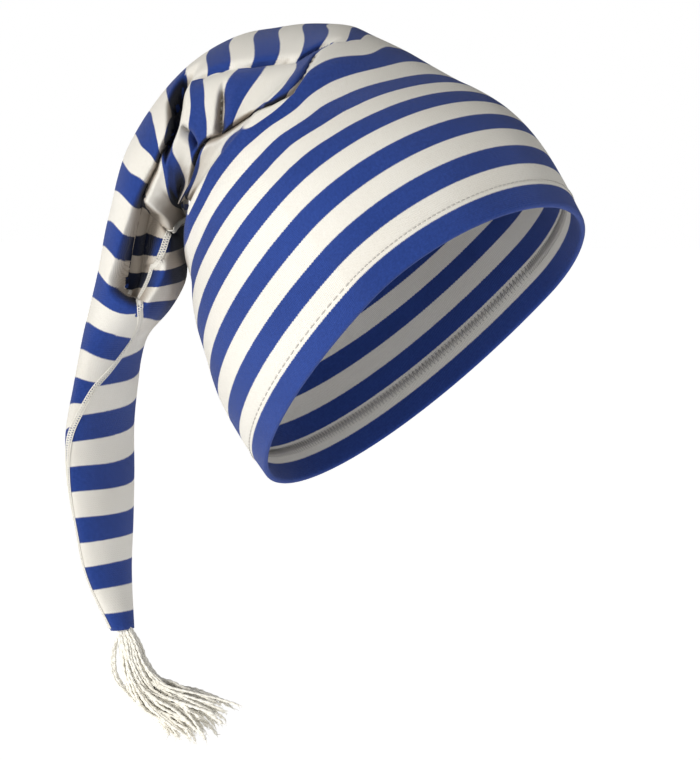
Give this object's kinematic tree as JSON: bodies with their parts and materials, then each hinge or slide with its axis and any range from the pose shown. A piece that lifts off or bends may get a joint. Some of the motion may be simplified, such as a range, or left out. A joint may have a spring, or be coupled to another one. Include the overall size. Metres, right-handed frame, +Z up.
{
  "type": "nightcap",
  "caption": "Soft striped jersey nightcap: a fitted crown that opens downwards, a long tapering tail folded over behind the head, and a yarn tassel at its tip.",
  "frame": {"origin": "on the inner skin at the top of the crown, where the head sits", "axes": "+Z up as worn, the wearer faces -Y, and the tail falls behind the head towards -X, the wearer's right"},
  "size_m": [0.1604, 0.2117, 0.3208],
  "materials": {
    "striped_jersey": "fine cotton jersey knit in royal blue and ivory stripes, matt",
    "tassel_yarn": "loose off-white cotton yarn, matt"
  },
  "bodies": {
    "root": {"cap": "striped_jersey", "tassel": "tassel_yarn"}
  },
  "joints": []
}
